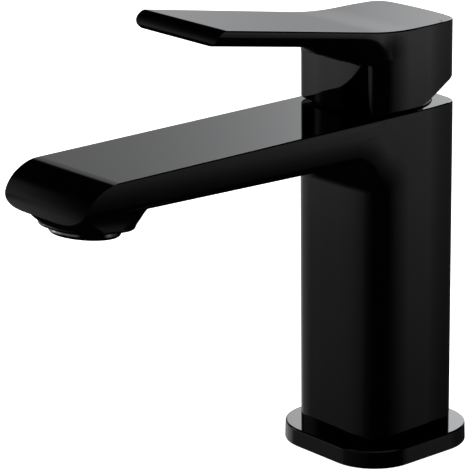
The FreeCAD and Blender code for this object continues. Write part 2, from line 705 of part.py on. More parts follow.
# the top is a shallow hollow over the hub that runs tangent into the rising lever
knee_y = dip_y - sweep * q_sin(RISE)
knee_z = dip + sweep * (1.0 - q_cos(RISE))
back_z = dip
LE = D("lever_end")
end_z = knee_z + (LE + knee_y) * q_tan(RISE)
lip_drop = D("lever_thick") / q_cos(RISE)
root_z = knee_z + (HH + knee_y) * q_tan(RISE) - lip_drop

b = new_body("grip")
sk = new_sketch(b, "YZ_Plane", "grip_side")
outline(sk, [
    (HH, D("hub_back_low")),
    (HH, back_z),
    (dip_y, dip, sweep, -1),
    (knee_y, knee_z),
    (-LE, end_z),
    (-LE, end_z - lip_drop),
    (-HH, root_z),
    (-HH, D("hub_low")),
    (D("hub_cut_start"), D("hub_low")),
])
pad(b, sk, HH * 2.0, middle=True, name="grip_pad")
hh = HH.v

fillet(b, lambda e: near(middle_of(e).y, -hh) and near(middle_of(e).z, root_z.v) and near(middle_of(e).x, 0),
       D("lever_bend"), "lever_bend")
fillet(b, lambda e: near(abs(middle_of(e).x), hh) and near(middle_of(e).y, hh) and e.BoundBox.ZLength > 5,
       D("handle_corner"), "grip_rear_corners")


def lever_under(y):
    return root_z.v + (-hh - y) * math.tan(math.radians(VALUE["lever_rise"]))


def is_lever_lower(e):
    m = middle_of(e)
    return near(abs(m.x), hh) and m.y < -hh - 8 and near(m.z, lever_under(m.y), 0.05)


def is_hub_front(e):
    m = middle_of(e)
    return near(abs(m.x), hh) and near(m.y, -hh) and e.BoundBox.ZLength > 5


def is_bend_edge(e):
    m = middle_of(e)
    return near(abs(m.x), hh) and not is_lever_lower(e) and not is_hub_front(e) \
        and m.y < -hh + 0.01 and m.z < lever_under(m.y) + 0.05 and m.z > lever_under(-hh) - 12


doc.recompute()
shape = b.Shape
edges = []
for i, e in enumerate(shape.Edges):
    if is_lever_lower(e):
        edges.append((i + 1, VALUE["lever_edge"], VALUE["lever_edge"]))
    elif is_hub_front(e):
        edges.append((i + 1, VALUE["handle_corner"], VALUE["handle_corner"]))
    elif is_bend_edge(e):
        first = e.valueAt(e.FirstParameter)
        at_hub = near(first.y, -hh)
        edges.append((i + 1, VALUE["handle_corner"] if at_hub else VALUE["lever_edge"],
                      VALUE["lever_edge"] if at_hub else VALUE["handle_corner"]))
grip_round = doc.addObject("Part::Fillet", "grip_round")
grip_round.Base = b
grip_round.Edges = edges
doc.recompute()
if grip_round.Shape.isNull() or not grip_round.Shape.isValid():
    raise RuntimeError("grip rounding failed %r" % edges)

# eased edges: round the top, and under the hub
def is_grip_rim(e):
    m = middle_of(e)
    if m.y < -VALUE["lever_end"] + 0.1:
        return False
    along = abs(m.x) > hh - VALUE["handle_corner"] + 0.1 or m.y > hh - 0.1
    top = dip.v if m.y > 0 else (
        knee_z.v + (-m.y + knee_y.v) * math.tan(math.radians(VALUE["lever_rise"])) if m.y < knee_y.v
        else dip.v + VALUE["handle_sweep"] - math.sqrt(VALUE["handle_sweep"] ** 2 - m.y ** 2))
    return along and near(m.z, top, 0.03)


def is_hub_foot(e):
    m = middle_of(e)
    return near(m.z, VALUE["hub_low"], 0.01) and e.BoundBox.ZLength < 0.01 and m.y < VALUE["hub_cut_start"] - 0.1


def eased(base, name, test, radius):
    names = [i + 1 for i, e in enumerate(base.Shape.Edges) if test(e)]
    f = doc.addObject("Part::Fillet", name)
    f.Base = base
    f.Edges = [(i, radius, radius) for i in names]
    doc.recompute()
    if not names or f.Shape.isNull() or not f.Shape.isValid():
        raise RuntimeError("edge easing failed: " + name)
    return f


grip_round = eased(grip_round, "grip_rim", is_grip_rim, VALUE["handle_rim"])
grip_round = eased(grip_round, "hub_foot", is_hub_foot, VALUE["hub_foot_edge"])

# rounded nose of the lever
nose = new_body("lever_nose")
sk = new_sketch(nose, "YZ_Plane", "lever_nose_side")
ns = D("lever_nose_start")
nose_top = knee_z + (ns + knee_y) * q_tan(RISE)
outline(sk, [
    (-ns, nose_top + 8.0),
    (-(LE + 5.0), nose_top + 8.0),
    (-(LE + 5.0), nose_top - 12.0),
    (-(D("lever_lip") - 1.2), nose_top - 12.0),
    (-D("lever_lip"), nose_top - D("lever_nose_drop") - 2.0),
    (-D("lever_nose_front"), nose_top - D("lever_nose_drop"), D("lever_nose_radius"), -1),
    (-ns, nose_top),
])
pad(nose, sk, HH * 2.0 + 10.0, middle=True, name="lever_nose_pad")

ZS = D("screw_level")
handle_tools = join(
    "handle_tools",
    nose,
    cyl("hub_cavity", D("hub_bore"), D("hub_low") - 5.0, D("hub_roof")),
    block("stem_socket", -D("socket_half"), D("socket_half"), -D("socket_half"), D("socket_half"),
          D("hub_roof") - 1.0, D("socket_high")),
    lying("screw_hole", D("screw_radius") + 0.02, 0.0, HH + 5.0, 0.0, ZS, along="y"),
    lying("cap_hole", D("cap_radius") + 0.05, HH - D("cap_depth"), HH + 5.0, 0.0, ZS, along="y"),
)
grip_cut = cut("grip_cut", grip_round, handle_tools)
doc.recompute()
part_of(grip_cut, "handle")

# grub screw with a hex socket, and the plug that hides it
key = doc.addObject("Part::Prism", "screw_key")
key.Polygon = 6
bind(key, "Circumradius", 1.44)
bind(key, "Height", 4.0)
key.Placement = FreeCAD.Placement(V(0, 0, 0), FreeCAD.Rotation(V(1, 0, 0), -90))
bind(key, "Placement.Base.y", SH + 0.06 + D("screw_length") - 2.6)
bind(key, "Placement.Base.z", ZS)
screw_cone = doc.addObject("Part::Cone", "screw_cup")
bind(screw_cone, "Radius1", 1.2)
bind(screw_cone, "Radius2", 0.0)
bind(screw_cone, "Height", 0.9)
screw_cone.Placement = FreeCAD.Placement(V(0, 0, 0), FreeCAD.Rotation(V(1, 0, 0), -90))
bind(screw_cone, "Placement.Base.y", SH + 0.06)
bind(screw_cone, "Placement.Base.z", ZS)
part_of(cut("screw_cut", lying("screw_blank", D("screw_radius"), SH + 0.06, SH + 0.06 + D("screw_length"), 0.0, ZS, along="y"),
            join("screw_tool", key, screw_cone)), "handle_screw")
cap_dome = doc.addObject("Part::Fillet", "cap_dome")
cap_blank = lying("cap_blank", D("cap_radius"), HH - D("cap_depth") + 0.3, HH + 0.45, 0.0, ZS, along="y")
doc.recompute()
cap_dome.Base = cap_blank
cap_dome.Edges = [(i + 1, 0.4, 0.4) for i, e in enumerate(cap_blank.Shape.Edges) if near(e.BoundBox.YMax, HH.v + 0.45) and near(e.BoundBox.YMin, HH.v + 0.45)]
doc.recompute()
part_of(cap_dome, "index_cap")

# ---------------------------------------------------------------- aerator
RL, RT = D("ring_low"), D("ring_top")


b = turned_part("aer_ring", [
    (D("ring_bore"), RL), (D("ring_radius"), RL), (D("ring_radius"), D("boss_low") - 0.05),
    (D("ring_thread"), D("boss_low") - 0.05), (D("ring_thread"), RT), (D("ring_bore"), RT),
])
fillet(b, lambda e: near(middle_of(e).z, VALUE["ring_low"]) and math.hypot(middle_of(e).x, middle_of(e).y) > 11,
       1.3, "aer_ring_rim")
tipped(b)
part_of(b, "aerator_ring")

# flow former: a cup with a honeycomb of outlet holes
insert_blank = tipped_cyl("insert_blank", D("insert_radius"), D("insert_low"), D("insert_top"))
insert_tools = [tipped_cyl("insert_hollow", D("insert_radius") - 1.4, D("insert_low") + 2.4, D("insert_top") + 1.0)]
pitch = 2.9
for i in range(-3, 4):
    for j in range(-3, 4):
        hx, hy = pitch * j * math.sqrt(3) / 2, pitch * (i + 0.5 * j)
        if math.hypot(hx, hy) < VALUE["insert_radius"] - 2.2:
            cell = doc.addObject("Part::Prism", "cell_%d_%d" % (i + 3, j + 3))
            cell.Polygon = 6
            bind(cell, "Circumradius", 1.32)
            bind(cell, "Height", 5.0)
            insert_tools.append(tipped(cell, hx, hy, D("insert_low") - 1.0))
part_of(cut("insert_cut", insert_blank, join("insert_tools", *insert_tools)), "aerator_insert")

# perforated inlet screen inside the cup
screen_blank = tipped_cyl("screen_blank", D("insert_radius") - 1.45, D("insert_top") - 1.0, D("insert_top") - 0.2)
screen_tools = []
for rr, n in ((0.0, 1), (2.6, 6), (5.2, 12)):
    for k in range(n):
        a = 2 * math.pi * k / n
        screen_tools.append(tipped_cyl("screen_%d_%d" % (n, k), 0.75, D("insert_top") - 2.0, D("insert_top") + 1.0,
                                       rr * math.cos(a), rr * math.sin(a)))
part_of(cut("screen_cut", screen_blank, join("screen_tools", *screen_tools)), "aerator_screen")

part_of(cut("aer_washer", tipped_cyl("aer_washer_out", D("ring_thread") - 0.1, RT, D("socket_top")),
            tipped_cyl("aer_washer_in", D("washer_inner"), RT - 1.0, D("socket_top") + 1.0)), "aerator_washer")

# ---------------------------------------------------------------- fixing kit below the deck
ST, SY = D("stud_radius"), D("stud_y")
part_of(cyl("stud", ST, D("stud_low"), D("spigot_low") + D("stud_depth") - 0.6, 0.0, SY), "fixing_stud")

GT = -D("deck_gap")
ST2 = GT - D("shoe_rubber_thick")
ST3 = ST2 - D("shoe_steel_thick")


def horseshoe(name, high, low, radius, slot):
    blank = cyl(name + "_blank", radius, low, high)
    tool = join(
        name + "_tool",
        block(name + "_slot", -slot, slot, D("shoe_slot_start"), 60.0, low - 1.0, high + 1.0),
        cyl(name + "_hole", ST + 0.3, low - 1.0, high + 1.0, 0.0, SY),
    )
    return cut(name + "_cut", blank, tool)


part_of(horseshoe("shoe_rubber", GT, ST2, D("shoe_radius"), D("shoe_slot")), "horseshoe_gasket")
part_of(horseshoe("shoe_steel", ST2, ST3, D("shoe_radius") - 0.8, D("shoe_slot") + 0.6), "horseshoe_washer")

fix = doc.addObject("Part::Prism", "fix_hex")
fix.Polygon = 6
bind(fix, "Circumradius", D("fixing_nut_flats") / 2.0 / math.cos(math.radians(30)))
bind(fix, "Height", D("fixing_nut_high"))
bind(fix, "Placement.Base.y", SY)
bind(fix, "Placement.Base.z", ST3 - D("fixing_nut_high"))
fix_collar = cyl("fix_collar", 9.0, ST3 - 1.6, ST3, 0.0, SY)
part_of(cut("fix_cut", join("fix_solid", fix, fix_collar), cyl("fix_bore", ST + 0.01, ST3 - 40.0, ST3 + 1.0, 0.0, SY)), "fixing_nut")

# ---------------------------------------------------------------- checks and files
doc.recompute()
for o in doc.Objects:
    if "Invalid" in o.State or "Error" in o.State:
        raise RuntimeError("failed object %s (%s) %s" % (o.Name, o.Label, o.State))
names = [o.Label for o in SUBPARTS]
if len(set(names)) != len(names):
    raise RuntimeError("two sub-parts share a name")
for o in SUBPARTS:
    if o.Shape.isNull() or not o.Shape.isValid() or not o.Shape.Solids:
        raise RuntimeError("bad shape " + o.Label)

os.makedirs("parts", exist_ok=True)
for o in SUBPARTS:
    o.Shape.exportStep("parts/%s.step" % o.Label)
    bb = o.Shape.BoundBox
    print("%-18s solids %d  volume %10.1f  x %.2f %.2f  y %.2f %.2f  z %.2f %.2f" % (
        o.Label, len(o.Shape.Solids), o.Shape.Volume, bb.XMin, bb.XMax, bb.YMin, bb.YMax, bb.ZMin, bb.ZMax))
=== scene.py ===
import math

import bmesh
import bpy
import numpy as np
from mathutils import Matrix, Vector


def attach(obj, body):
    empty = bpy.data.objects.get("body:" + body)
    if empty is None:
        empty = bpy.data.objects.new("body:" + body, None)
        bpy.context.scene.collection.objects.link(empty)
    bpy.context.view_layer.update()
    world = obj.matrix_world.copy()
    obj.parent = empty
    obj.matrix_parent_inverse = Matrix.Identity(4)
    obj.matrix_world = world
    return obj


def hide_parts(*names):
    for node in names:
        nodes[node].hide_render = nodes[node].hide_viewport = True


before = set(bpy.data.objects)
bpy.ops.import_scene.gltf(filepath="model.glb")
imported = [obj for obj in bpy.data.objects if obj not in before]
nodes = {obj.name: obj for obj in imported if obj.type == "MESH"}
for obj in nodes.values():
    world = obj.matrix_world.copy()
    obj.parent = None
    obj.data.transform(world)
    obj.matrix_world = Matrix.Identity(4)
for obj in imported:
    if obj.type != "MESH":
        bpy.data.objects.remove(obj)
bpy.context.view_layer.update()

scene = bpy.context.scene


# ---------------------------------------------------------------- node helpers
class Wire:
    """A value in a node tree. Arithmetic on it adds Math nodes to the tree."""

    def __init__(self, tree, socket):
        self.tree, self.socket = tree, socket

    def _math(self, op, *others, clamp=False):
        n = self.tree.nodes.new("ShaderNodeMath")
        n.operation = op
        n.use_clamp = clamp
        for i, o in enumerate((self,) + others):
            if isinstance(o, Wire):
                self.tree.links.new(o.socket, n.inputs[i])
            else:
                n.inputs[i].default_value = o
        return Wire(self.tree, n.outputs[0])

    def __add__(self, o):
        return self._math("ADD", o)

    __radd__ = __add__

    def __sub__(self, o):
        return self._math("SUBTRACT", o)

    def __rsub__(self, o):
        return (self * -1.0) + o

    def __mul__(self, o):
        return self._math("MULTIPLY", o)

    __rmul__ = __mul__

    def __truediv__(self, o):
        return self._math("DIVIDE", o)

    def power(self, p):
        return self._math("POWER", p)

    def exp(self):
        return self._math("EXPONENT")

    def step(self, a, b):
        """0 below a, 1 above b, smooth between. b may lie below a."""
        n = self.tree.nodes.new("ShaderNodeMapRange")
        n.interpolation_type = "SMOOTHSTEP"
        self.tree.links.new(self.socket, n.inputs["Value"])
        lo, hi = (a, b) if a < b else (b, a)
        n.inputs["From Min"].default_value = lo
        n.inputs["From Max"].default_value = hi
        n.inputs["To Min"].default_value = 0.0 if a < b else 1.0
        n.inputs["To Max"].default_value = 1.0 if a < b else 0.0
        return Wire(self.tree, n.outputs["Result"])

    def ramp(self, a, b):
        """0 at a, 1 at b, straight between and flat outside."""
        n = self.tree.nodes.new("ShaderNodeMapRange")
        n.clamp = True
        self.tree.links.new(self.socket, n.inputs["Value"])
        lo, hi = (a, b) if a < b else (b, a)
        n.inputs["From Min"].default_value = lo
        n.inputs["From Max"].default_value = hi
        n.inputs["To Min"].default_value = 0.0 if a < b else 1.0
        n.inputs["To Max"].default_value = 1.0 if a < b else 0.0
        return Wire(self.tree, n.outputs["Result"])

    def bell(self, middle, width):
        d = (self - middle) / width
        return ((d * d) * -1.0).exp()

    def soft_edge(self, at, width):
        """1 well below at, 0 well above it."""
        return ((((self - at) / width).exp()) + 1.0).power(-1.0)


# ---------------------------------------------------------------- camera
def make_camera():
    az, el, roll = math.radians(49.655), math.radians(17.378), math.radians(-0.611)
    scale, dist = 2.705, 1.0 / 0.92
    back = Vector((math.sin(az) * math.cos(el), -math.cos(az) * math.cos(el), math.sin(el)))
    right = Vector((math.cos(az), math.sin(az), 0.0))
    up = back.cross(right)
    target = Vector((0, 0, 0.080)) + right * -0.052027 + up * 0.00005
    place = target + back * dist
    r2 = right * math.cos(roll) + up * math.sin(roll)
    u2 = up * math.cos(roll) - right * math.sin(roll)
    cam = bpy.data.cameras.new("camera")
    cam.sensor_fit = "HORIZONTAL"
    cam.sensor_width = 36.0
    cam.lens = scale * 1000.0 * dist / 470.0 * 36.0
    cam.clip_start, cam.clip_end = 0.01, 200.0
    obj = bpy.data.objects.new("camera", cam)
    obj.matrix_world = Matrix((
        (r2.x, u2.x, back.x, place.x),
        (r2.y, u2.y, back.y, place.y),
        (r2.z, u2.z, back.z, place.z),
        (0, 0, 0, 1)))
    scene.collection.objects.link(obj)
    scene.camera = obj


make_camera()


# ---------------------------------------------------------------- studio
def make_world():
    world = bpy.data.worlds.new("studio")
    scene.world = world
    world.use_nodes = True
    t = world.node_tree
    t.nodes.clear()
    out = t.nodes.new("ShaderNodeOutputWorld")
    co = t.nodes.new("ShaderNodeTexCoord")
    sep = t.nodes.new("ShaderNodeSeparateXYZ")
    t.links.new(co.outputs["Generated"], sep.inputs[0])
    x, y, z = (Wire(t, sep.outputs[i]) for i in range(3))
    deg = 180.0 / math.pi
    el = z._math("ARCSINE") * deg
    az = (y._math("ARCTAN2", x) * deg)
    az = az + az.step(0.001, -0.001) * 360.0          # 0 to 360, from +X towards +Y

    # the lit wall behind, brighter towards its right and above
    wall = az.step(88.0, 104.0) * az.step(190.0, 165.0) * el.step(29.0, 24.0) * el.step(-7.0, -1.0)
    plain_wall = (0.5 - el.step(2.0, 14.0) * 0.08) * (az.step(136.5, 139.5) * el.step(6.0, 2.0) * 0.14 + 1.0)
    right_end = az.step(104.0, 128.0)
    rise = el.ramp(0.0, 13.0) * 0.8 + el.step(12.5, 15.5) * el.step(20.0, 17.0) * 0.42
    sweep = rise * (az.soft_edge(135.4, 2.4) * 2.0 - 0.05) * right_end
    panel = el.step(15.5, 20.5) * az.soft_edge(140.0, 0.5) * 1.6 * right_end
    back = wall * (plain_wall + sweep + panel)

    # the soft light on the left, strongest near the horizon
    left_end = az.step(150.0, 172.0)
    lean = (el - 8.0)._math("MAXIMUM", 0.0)
    side_gap = 1.0 - az.step(217.0, 212.0) * el.step(22.0, 16.0)
    left_up = ((el / -20.0).exp() * 0.92) * az.step(188.0, 204.0) * (az + lean * lean * 0.027).soft_edge(219.5, 1.7) * el.step(-6.0, 0.0) * el.step(40.0, 31.0) * side_gap
    under = (el + 14.0)._math("MINIMUM", 0.0) / 8.5
    fade = el.step(-18.0, -12.0) * 0.36 + ((under * under) * -1.0).exp() * 0.24
    left_low = fade * el.step(0.0, -6.0) * (az.ramp(310.0, 246.0) * 0.42 + az.step(250.0, 231.5) * 0.58 - az.step(218.0, 200.0) * 0.35)
    left_foot = az.step(211.0, 193.0) * el.step(-14.5, -16.5) * el.step(-32.0, -24.0) * 0.5
    left_hub = el.step(-15.0, -14.5) * el.step(-6.0, -9.0) * az.step(246.0, 268.0) * az.step(306.0, 294.0) * 0.25
    left_lip = el.bell(-8.0, 3.0) * az.step(221.0, 215.0) * az.step(196.0, 206.0) * 1.9
    left = (left_up + left_low + left_foot + left_hub + left_lip) * left_end

    # the reflector on the right, below the horizon
    past = (az - 46.0)._math("MAXIMUM", 0.0) / -9.5
    right_az = az.ramp(26.5, 44.5) * (past.exp() * 0.75 + 0.25) * az.step(122.0, 100.0)
    right = right_az * el.step(-9.0, -13.0) * (el.bell(-6.0, 11.0) * 0.72 + el.step(-15.0, -13.0) * 0.14)

    # the back of the set, not seen by the sides that face the camera
    rear = az.step(100.0, 125.0) * az.step(185.0, 165.0) * el.step(-2.0, -6.0) * el.bell(-6.0, 13.0) * 0.5
    rear = rear * (1.0 - az.step(98.0, 104.0) * az.step(156.0, 148.0) * el.step(-9.0, -12.0))
    above = el.step(55.0, 68.0) * 0.4
    front = (az.step(236.0, 252.0) + az.step(26.0, 18.0)) * el.step(27.0, 32.0) * el.step(50.0, 42.0) * 0.35

    total = back + left + right + rear + above + front + 0.0015
    glow = t.nodes.new("ShaderNodeBackground")
    t.links.new(total.socket, glow.inputs["Strength"])
    glow.inputs["Color"].default_value = (0.985, 0.995, 1.01, 1.0)
    plain = t.nodes.new("ShaderNodeBackground")
    plain.inputs["Color"].default_value = (1.0, 1.0, 1.0, 1.0)
    plain.inputs["Strength"].default_value = 1.15
    path = t.nodes.new("ShaderNodeLightPath")
    mix = t.nodes.new("ShaderNodeMixShader")
    t.links.new(path.outputs["Is Camera Ray"], mix.inputs[0])
    t.links.new(glow.outputs[0], mix.inputs[1])
    t.links.new(plain.outputs[0], mix.inputs[2])
    t.links.new(mix.outputs[0], out.inputs["Surface"])


def make_floor():
    low = -0.0001          # the deck that the foot stands on
    bm = bmesh.new()
    bmesh.ops.create_circle(bm, cap_ends=True, radius=40.0, segments=96)
    me = bpy.data.meshes.new("floor")
    bm.to_mesh(me)
    bm.free()
    floor = bpy.data.objects.new("floor", me)
    floor.location.z = low
    scene.collection.objects.link(floor)
    mat = bpy.data.materials.new("pale_floor")
    mat.use_nodes = True
    bsdf = mat.node_tree.nodes["Principled BSDF"]
    bsdf.inputs["Base Color"].default_value = (0.88, 0.88, 0.88, 1.0)
    bsdf.inputs["Roughness"].default_value = 0.9
    bsdf.inputs["Specular IOR Level"].default_value = 0.0
    bsdf.inputs["Emission Color"].default_value = (1.0, 1.0, 1.0, 1.0)
    bsdf.inputs["Emission Strength"].default_value = 1.05
    me.materials.append(mat)
    floor.visible_glossy = False
    floor.visible_diffuse = True

    sun = bpy.data.lights.new("ceiling", "SUN")
    sun.energy = 2.0
    sun.angle = math.radians(80.0)
    lamp = bpy.data.objects.new("ceiling", sun)
    lamp.rotation_euler = (math.radians(8.0), math.radians(-10.0), 0.0)
    lamp.visible_glossy = False
    scene.collection.objects.link(lamp)


make_world()
make_floor()
scene.view_settings.view_transform = "Standard"
scene.view_settings.look = "None"


# ---------------------------------------------------------------- materials
def new_material(name):
    mat = bpy.data.materials.new(name)
    mat.use_nodes = True
    t = mat.node_tree
    return mat, t, t.nodes["Principled BSDF"]


def coords(t, scale=1.0, stretch=(1.0, 1.0, 1.0)):
    co = t.nodes.new("ShaderNodeTexCoord")
    mp = t.nodes.new("ShaderNodeMapping")
    mp.inputs["Scale"].default_value = [scale * s for s in stretch]
    t.links.new(co.outputs["Object"], mp.inputs["Vector"])
    return mp.outputs[0]


def noise(t, vec, scale, detail=3.0, rough=0.5):
    n = t.nodes.new("ShaderNodeTexNoise")
    n.inputs["Scale"].default_value = scale
    n.inputs["Detail"].default_value = detail
    n.inputs["Roughness"].default_value = rough
    t.links.new(vec, n.inputs["Vector"])
    return n.outputs["Fac"]


def spread(t, fac, low, high, a=0.3, b=0.7):
    m = t.nodes.new("ShaderNodeMapRange")
    m.inputs["From Min"].default_value = a
    m.inputs["From Max"].default_value = b
    m.inputs["To Min"].default_value = low
    m.inputs["To Max"].default_value = high
    t.links.new(fac, m.inputs["Value"])
    return m.outputs["Result"]


def colours(t, fac, *stops):
    r = t.nodes.new("ShaderNodeValToRGB")
    e = r.color_ramp.elements
    while len(e) < len(stops):
        e.new(0.5)
    for el, (p, c) in zip(e, stops):
        el.position = p
        el.color = (*c, 1.0)
    t.links.new(fac, r.inputs["Fac"])
    return r.outputs["Color"]


def bump(t, height, distance, strength=1.0, after=None):
    b = t.nodes.new("ShaderNodeBump")
    b.inputs["Distance"].default_value = distance
    b.inputs["Strength"].default_value = strength
    t.links.new(height, b.inputs["Height"])
    if after is not None:
        t.links.new(after, b.inputs["Normal"])
    return b.outputs["Normal"]


def gloss_black():
    """Black lacquer: deep, with a trace of orange peel and of fine wiping marks."""
    mat, t, s = new_material("gloss_black_lacquer")
    v = coords(t)
    cloud = noise(t, v, 60.0, 4.0)
    fine = noise(t, v, 900.0, 2.0)
    peel = noise(t, v, 420.0, 1.0)
    t.links.new(colours(t, cloud, (0.3, (0.0003, 0.0003, 0.0004)), (0.7, (0.0006, 0.0006, 0.0007))), s.inputs["Base Color"])
    t.links.new(spread(t, fine, 0.030, 0.050), s.inputs["Roughness"])
    s.inputs["IOR"].default_value = 1.5
    t.links.new(bump(t, peel, 0.000004, 0.5), s.inputs["Normal"])
    return mat


def simple(name, dark, light, scale, rough, metallic=0.0, grain=0.00002, stretch=(1, 1, 1), ior=1.5, shine=0.5):
    mat, t, s = new_material(name)
    v = coords(t, 1.0, stretch)
    a = noise(t, v, scale, 4.0)
    b = noise(t, v, scale * 6.0, 2.0)
    t.links.new(colours(t, a, (0.3, dark), (0.7, light)), s.inputs["Base Color"])
    t.links.new(spread(t, b, rough[0], rough[1]), s.inputs["Roughness"])
    s.inputs["Metallic"].default_value = metallic
    s.inputs["IOR"].default_value = ior
    s.inputs["Specular IOR Level"].default_value = shine
    t.links.new(bump(t, b, grain, 0.6), s.inputs["Normal"])
    return mat


MATS = {
    "gloss_black": gloss_black(),
    "satin_black": simple("satin_black_coat", (0.002, 0.002, 0.002), (0.004, 0.004, 0.004), 300.0, (0.42, 0.55), shine=0.2),
    "black_chrome": simple("black_chrome_plate", (0.3, 0.3, 0.31), (0.36, 0.36, 0.37), 120.0, (0.1, 0.16), metallic=1.0, grain=0.000004),
    "black_plastic": simple("black_plastic_moulded", (0.0015, 0.0015, 0.0015), (0.003, 0.003, 0.003), 300.0, (0.28, 0.4)),
    "dark_plastic": simple("dark_plastic_moulded", (0.02, 0.021, 0.023), (0.035, 0.036, 0.038), 240.0, (0.35, 0.5)),
    "white_plastic": simple("white_plastic_moulded", (0.68, 0.68, 0.66), (0.78, 0.78, 0.76), 200.0, (0.35, 0.5)),
    "grey_plastic": simple("grey_plastic_moulded", (0.24, 0.25, 0.26), (0.34, 0.35, 0.36), 260.0, (0.35, 0.5)),
    "ceramic": simple("ceramic_ground", (0.74, 0.73, 0.7), (0.82, 0.81, 0.78), 400.0, (0.15, 0.25), ior=1.7),
    "seal_rubber": simple("seal_rubber_black", (0.012, 0.012, 0.012), (0.028, 0.028, 0.028), 500.0, (0.6, 0.8), grain=0.00004),
    "brass": simple("brass_turned", (0.55, 0.38, 0.16), (0.68, 0.5, 0.24), 160.0, (0.2, 0.34), metallic=1.0),
    "steel": simple("steel_plain", (0.5, 0.5, 0.5), (0.64, 0.64, 0.63), 220.0, (0.2, 0.34), metallic=1.0),
}


def slot_of(obj):
    return obj.material_slots[0].material.name.split(".")[0]


for name, obj in nodes.items():
    slot = slot_of(obj)
    for s in obj.material_slots:
        s.material = MATS[slot]


# ---------------------------------------------------------------- refined shells
class Soup:
    """Triangles with a normal at each corner, in millimetres."""

    def __init__(self, obj):
        me = obj.data
        me.calc_loop_triangles()
        co = np.zeros(len(me.vertices) * 3)
        me.vertices.foreach_get("co", co)
        cn = np.zeros(len(me.loops) * 3)
        me.corner_normals.foreach_get("vector", cn)
        lv = np.zeros(len(me.loop_triangles) * 3, np.int64)
        me.loop_triangles.foreach_get("vertices", lv)
        ll = np.zeros(len(me.loop_triangles) * 3, np.int64)
        me.loop_triangles.foreach_get("loops", ll)
        self.p = np.round(co.reshape(-1, 3)[lv.reshape(-1, 3)] * 1000.0, 5)
        self.n = cn.reshape(-1, 3)[ll.reshape(-1, 3)]

    def split(self, axis, value, low=None, high=None):
        """Cuts every triangle that crosses the plane, keeping shared edges shared."""
        d = self.p[:, :, axis] - value
        d[np.abs(d) < 1e-4] = 0.0
        s = np.sign(d)
        crossing = (s.min(1) < 0) & (s.max(1) > 0)
        keep_p, keep_n = [self.p[~crossing]], [self.n[~crossing]]
        p, n, d, s = self.p[crossing], self.n[crossing], d[crossing], s[crossing]
        on = (s == 0).any(1)
        # the corner that stands alone on its side comes first (or the corner on the plane)
        total = s.sum(1)
        first = np.where(on, np.argmax(s == 0, 1), np.argmax(s == -np.sign(total)[:, None], 1))
        order = (first[:, None] + np.arange(3)[None, :]) % 3
        rows = np.arange(len(p))[:, None]
        p, n, d = p[rows, order], n[rows, order], d[rows, order]

        def between(i, j, m):
            a, b = np.abs(d[m, i])[:, None], np.abs(d[m, j])[:, None]
            q = (p[m, i] * b + p[m, j] * a) / (a + b)
            q[:, axis] = value
            v = (n[m, i] * b + n[m, j] * a) / (a + b)
            v /= np.maximum(np.linalg.norm(v, axis=1, keepdims=True), 1e-9)
            return np.round(q, 5), v

        m = on
        if m.any():
            q, v = between(1, 2, m)
            keep_p += [np.stack([p[m, 0], p[m, 1], q], 1), np.stack([p[m, 0], q, p[m, 2]], 1)]
            keep_n += [np.stack([n[m, 0], n[m, 1], v], 1), np.stack([n[m, 0], v, n[m, 2]], 1)]
        m = ~on
        if m.any():
            q, v = between(0, 1, m)
            r, w = between(0, 2, m)
            keep_p += [np.stack([p[m, 0], q, r], 1), np.stack([q, p[m, 1], p[m, 2]], 1), np.stack([q, p[m, 2], r], 1)]
            keep_n += [np.stack([n[m, 0], v, w], 1), np.stack([v, n[m, 1], n[m, 2]], 1), np.stack([v, n[m, 2], w], 1)]
        self.p, self.n = np.concatenate(keep_p), np.concatenate(keep_n)

    def bend(self, shape):
        """Moves every corner, and turns its normal with the surface."""
        p = self.p.reshape(-1, 3)
        n = self.n.reshape(-1, 3)
        h = 2e-3
        cols = []
        for k in range(3):
            e = np.zeros(3)
            e[k] = h
            cols.append((shape.move(p + e, p) - shape.move(p - e, p)) / (2 * h))
        jac = np.stack(cols, 2)
        n = np.linalg.solve(np.transpose(jac, (0, 2, 1)), n[:, :, None])[:, :, 0]
        n /= np.maximum(np.linalg.norm(n, axis=1, keepdims=True), 1e-9)
        self.n = shape.normals(p, n, self.n.reshape(-1, 3)).reshape(-1, 3, 3)
        self.p = shape.move(p, p).reshape(-1, 3, 3)

    def to_object(self, name, mat):
        flat = np.round(self.p.reshape(-1, 3), 4)
        unique, inverse = np.unique(flat, axis=0, return_inverse=True)
        tri = inverse.reshape(-1, 3)
        good = (tri[:, 0] != tri[:, 1]) & (tri[:, 1] != tri[:, 2]) & (tri[:, 0] != tri[:, 2])
        tri, nor = tri[good], self.n[good]
        me = bpy.data.meshes.new(name)
        me.from_pydata((unique / 1000.0).tolist(), [], tri.tolist())
        me.polygons.foreach_set("use_smooth", np.ones(len(tri), bool))
        me.update()
        me.normals_split_custom_set(nor.reshape(-1, 3).tolist())
        me.materials.append(mat)
        obj = bpy.data.objects.new(name, me)
        scene.collection.objects.link(obj)
        return obj


